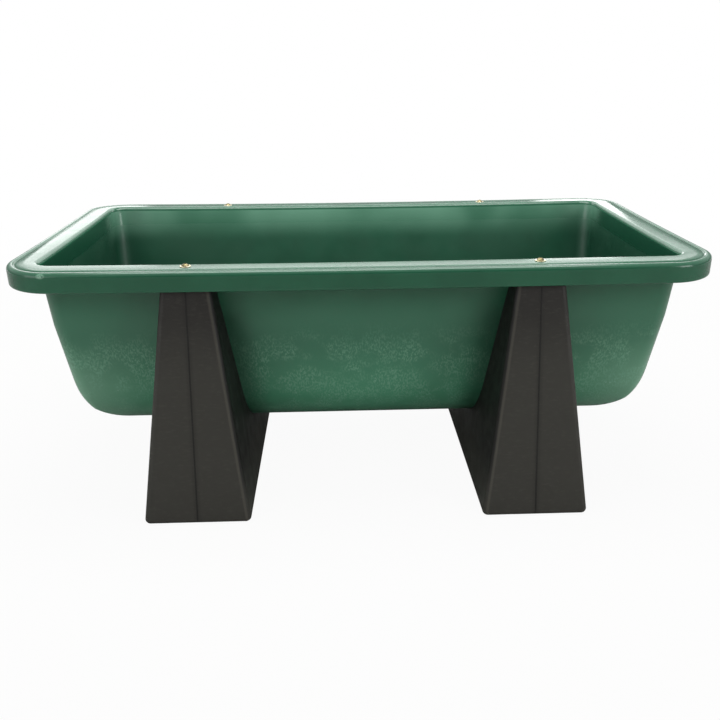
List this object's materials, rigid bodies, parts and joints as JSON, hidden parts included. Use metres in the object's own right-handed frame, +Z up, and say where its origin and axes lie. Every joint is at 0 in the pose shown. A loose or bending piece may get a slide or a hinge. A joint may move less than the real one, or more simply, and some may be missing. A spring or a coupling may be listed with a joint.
{
  "type": "bunk feeder",
  "caption": "Long moulded livestock feed trough with a rolled rim and rounded bottom, screwed down on black saddle legs that splay to the ground.",
  "frame": {"origin": "on the ground under the middle of the trough", "axes": "+X along the trough, the front faces -Y, +Z up"},
  "size_m": [1.524, 0.9546, 0.5519],
  "materials": {
    "green_polyethylene": "satin",
    "black_polyethylene": "matte",
    "yellow_zinc": "passivated",
    "insert_brass": "machined"
  },
  "bodies": {
    "root": {"trough": "green_polyethylene", "left_leg": "black_polyethylene", "right_leg": "black_polyethylene", "rim_screw_front_left": "yellow_zinc", "rim_washer_front_left": "yellow_zinc", "threaded_insert_front_left": "insert_brass", "rim_screw_rear_left": "yellow_zinc", "rim_washer_rear_left": "yellow_zinc", "threaded_insert_rear_left": "insert_brass", "rim_screw_front_right": "yellow_zinc", "rim_washer_front_right": "yellow_zinc", "threaded_insert_front_right": "insert_brass", "rim_screw_rear_right": "yellow_zinc", "rim_washer_rear_right": "yellow_zinc", "threaded_insert_rear_right": "insert_brass"}
  },
  "joints": []
}
